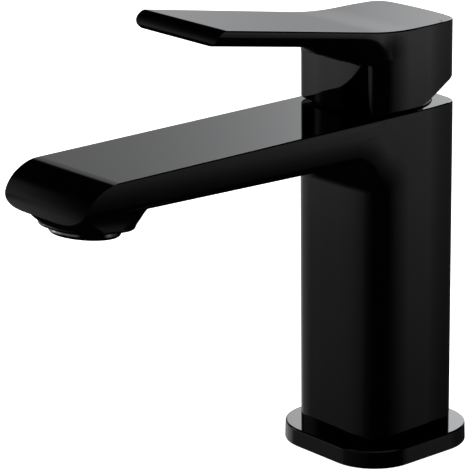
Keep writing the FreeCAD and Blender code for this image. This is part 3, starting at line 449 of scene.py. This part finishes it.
def soft_corner(half, flat, crown, turn, reach=None):
    """Radius against angle, 0 to 90 degrees from the side, for one quarter of a bar. The side is flat at its
    middle, crowned from there to the corner, and the corner runs out on the front. Without reach, the front is as
    the side; with it, the front is flat and the corner takes that much of it."""
    d1 = math.radians(turn)
    side = [(half, t) for t in np.linspace(0.0, flat, 20)]
    side += [(half - crown + crown * math.cos(a), flat + crown * math.sin(a)) for a in np.linspace(0.0, d1, 120)[1:]]
    if reach is None:
        corner = crown - (flat - half + crown) / (math.cos(d1) - math.sin(d1))
        middle = flat + (crown - corner) * math.sin(d1)
        side += [(middle + corner * math.cos(a), middle + corner * math.sin(a))
                 for a in np.linspace(d1, math.pi / 4, 120)[1:]]
        pts = np.array(side + [(y, x) for x, y in side[-2::-1]])
    else:
        p1 = np.array(side[-1])
        c = p1 + np.array([-math.tan(d1), 1.0]) * (half - p1[1])
        p2 = np.array([c[0] - reach, half])
        b1, b2 = p1 + 0.58 * (c - p1), p2 + 0.58 * (c - p2)
        t = np.linspace(0.0, 1.0, 240)[1:, None]
        arc = (1 - t) ** 3 * p1 + 3 * (1 - t) ** 2 * t * b1 + 3 * (1 - t) * t * t * b2 + t ** 3 * p2
        front = [(x, half) for x in np.linspace(p2[0], 0.0, 20)[1:]]
        pts = np.concatenate([np.array(side), arc, np.array(front)])
    angle, radius = np.arctan2(pts[:, 1], pts[:, 0]), np.hypot(pts[:, 0], pts[:, 1])
    fine = np.linspace(0.0, math.pi / 2, 1801)
    return fine, np.interp(fine, angle, radius)


def round_square(angle, half, r):
    """The same for a square with plain rounded corners. r is one value for each angle."""
    c, s = np.cos(angle), np.sin(angle)
    flat = half / np.maximum(c, 1e-9)
    m = (half - r) * (c + s)
    arc = m + np.sqrt(np.maximum(m * m - 2 * (half - r) ** 2 + r * r, 0.0))
    return np.where(half * s / np.maximum(c, 1e-9) <= half - r, flat, arc)


def smooth(v, a, b):
    t = np.clip((v - a) / (b - a), 0.0, 1.0)
    return t * t * (3.0 - 2.0 * t)


class Crowned:
    """Gives the sides of a rounded bar a gentle crown towards its corners. depth(p) gives how far each point
    lies before or behind the bar's middle, the direction of that depth, how much of the crown it gets, and how
    far it has gone over from the first corner shape to the second."""

    def __init__(self, half, r_front, r_rear, depth, front, rear=None):
        self.half, self.r_front, self.r_rear, self.depth = half, r_front, r_rear, depth
        self.grid = front[0]
        self.tables = [front[1], (rear or front)[1]]
        # the direction of the surface against the radius, from the slope of the table
        self.slopes = [np.gradient(t, self.grid) for t in self.tables]

    def look(self, p):
        y, gy, gz, share, over = self.depth(p)
        ax, ay = np.abs(p[:, 0]), np.abs(y)
        angle = np.arctan2(ay, np.maximum(ax, 1e-9))
        eighth = np.minimum(angle, math.pi / 2 - angle)
        first = round_square(eighth, self.half, np.where(p[:, 1] < 0, self.r_front, self.r_rear))
        to = sum(np.interp(angle, self.grid, t) * w for t, w in zip(self.tables, (1.0 - over, over)))
        return y, gy, gz, share, over, angle, share * (to / first - 1.0), to, np.hypot(ax, ay) / first

    def move(self, p, rest):
        y, gy, gz, _, _, _, k, _, _ = self.look(p)
        k = k * (self.look(rest)[8] > 0.955)          # only the outer skin moves
        q = p.copy()
        q[:, 0] = p[:, 0] * (1.0 + k)
        q[:, 1] = p[:, 1] + gy * y * k
        q[:, 2] = p[:, 2] + gz * y * k
        return q

    def normals(self, p, n, before):
        """The exact normals where a corner lies on the bar's skin and already points about that way, and the first
        ones on faces that cross the skin."""
        y, gy, gz, share, over, angle, _, to, ratio = self.look(p)
        slope = sum(np.interp(angle, self.grid, t) * w for t, w in zip(self.slopes, (1.0 - over, over)))
        c, s = np.cos(angle), np.sin(angle)
        nx = (to * c + slope * s) * np.sign(p[:, 0])
        ny = (to * s - slope * c) * np.sign(y)
        v = np.stack([nx, ny * gy, ny * gz], 1)
        v /= np.maximum(np.linalg.norm(v, axis=1, keepdims=True), 1e-9)
        use = (np.abs(ratio - 1.0) < 0.008) & (share > 0.999) & ((v * n).sum(1) > 0.93)
        n = np.where(((v * before).sum(1) < 0.75)[:, None], before, n)
        return np.where(use[:, None], v, n)


def body_depth(p):
    """The column's front, the bend and the spout's underside make one line: this is the depth behind it."""
    half, bend, slope = 22.5, 11.0, math.atan2(118.3 - 114.2, 162.0 - 22.5)
    cy = -half - bend
    cz = 114.2 + bend * math.tan(slope) - bend / math.cos(slope)
    vy, vz = p[:, 1] - cy, p[:, 2] - cz
    ny, nz = math.sin(slope), math.cos(slope)
    r = np.maximum(np.hypot(vy, vz), 1e-6)
    column = vz < 0
    spout = ~column & (vy * -nz + vz * ny > 0)
    s = np.where(column, vy, np.where(spout, vy * ny + vz * nz, r)) - bend
    gy = np.where(column, 1.0, np.where(spout, ny, vy / r))
    gz = np.where(column, 0.0, np.where(spout, nz, vz / r))
    rear = p[:, 1] >= 0
    y = np.where(rear, p[:, 1], np.minimum(s - half, 0.0))
    share = np.where(rear, 1.0, smooth(s, -4.0, -0.2))     # none on the outlet boss
    over = np.where(rear, 0.0, smooth(np.arctan2(vz, vy), 0.0, math.radians(40.0)))
    return y, np.where(rear, 1.0, gy), np.where(rear, 0.0, gz), share, over


def hub_depth(p):
    """The hub alone: the crown runs out upwards and forwards, into the lever."""
    y, z = p[:, 1], p[:, 2]
    share = np.where(y < 0, (1.0 - smooth(z, 152.0, 161.0)) * (1.0 - smooth(-y, 22.2, 33.2)), 1.0)
    return y, np.ones(len(p)), np.zeros(len(p)), share, np.where(y < 0, 1.0, 0.0)


class Bowed:
    """The nose of the spout, a little fuller at its middle than at its ends."""

    axis_y, axis_z, radius, fullness = -136.316, 113.1, 18.3, 4000.0

    def move(self, p, rest):
        r = np.hypot(rest[:, 1] - self.axis_y, rest[:, 2] - self.axis_z)
        on = (np.abs(r - self.radius) < 0.03) & (rest[:, 1] < -136.0)
        q = p.copy()
        q[:, 1] += on * smooth(-p[:, 1], 136.0, 143.0) * p[:, 0] ** 2 / self.fullness
        return q

    def normals(self, p, n, before):
        across = np.stack([np.zeros(len(p)), p[:, 1] - self.axis_y, p[:, 2] - self.axis_z], 1) / self.radius
        return np.where(((across * before).sum(1) > 0.97)[:, None], n, before)


class LeverSide:
    """The sides of the lever lean in below its top, a little more the lower they get."""

    def move(self, p, rest):
        y = p[:, 1]
        hollow = 161.95 + 133.0 - np.sqrt(np.maximum(133.0 ** 2 - np.minimum(y, 0.0) ** 2, 1.0))
        knee = -133.0 * math.sin(math.radians(9.7))
        straight = 161.95 + 133.0 * (1.0 - math.cos(math.radians(9.7))) + (knee - y) * math.tan(math.radians(9.7))
        down = np.maximum(np.where(y > knee, hollow, straight) - p[:, 2] - 1.2, 0.0)
        lean = np.minimum(down, 3.6) ** 2 / 36.0
        q = p.copy()
        q[:, 0] -= np.sign(rest[:, 0]) * lean * smooth(-y, 16.0, 34.0) * smooth(np.abs(p[:, 0]), 8.0, 16.0)
        return q

    def normals(self, p, n, before):
        return n


class Drafted:
    """The rim of the plate, leaning in by a hair towards its top."""

    def move(self, p, rest):
        rim = np.hypot(rest[:, 0], rest[:, 1]) > 24.0
        q = p.copy()
        q[:, :2] *= 1.0 - (rim * 0.0007 * p[:, 2])[:, None]
        return q

    def normals(self, p, n, before):
        return np.where((np.abs(before[:, 2]) > 0.999)[:, None], before, n)


def refined(node, name, body, mat, slot, cuts, *shapes):
    soup = Soup(nodes[node])
    for axis, values in enumerate(cuts):
        for v in values:
            soup.split(axis, v)
    for shape in shapes:
        soup.bend(shape)
    obj = soup.to_object(name, mat)
    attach(obj, body)
    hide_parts(node)
    return obj


steps = [s * v for v in (4.5, 7.2, 9.9, 12.6, 15.0, 17.5) for s in (-1.0, 1.0)]
refined("spout_body", "body_shell", "body", MATS["gloss_black"], "gloss_black",
        (steps, steps, [100.0 + 2.0 * i for i in range(16)]),
        Bowed(), Crowned(22.5, 9.6, 10.0, body_depth, soft_corner(22.5, 4.5, 65.0, 10.5), soft_corner(22.5, 9.3, 75.0, 6.5, 13.0)))
refined("handle", "handle_shell", "handle", MATS["gloss_black"], "gloss_black",
        (steps, steps, [148.0 + 2.0 * i for i in range(6)]),
        LeverSide(), Crowned(22.15, 9.8, 9.8, hub_depth, soft_corner(22.15, 4.5, 65.0, 10.5)))


refined("base_plate", "plate_shell", "body", MATS["gloss_black"], "gloss_black", ([], [], []), Drafted())


# ---------------------------------------------------------------- update the scene
bpy.context.view_layer.update()
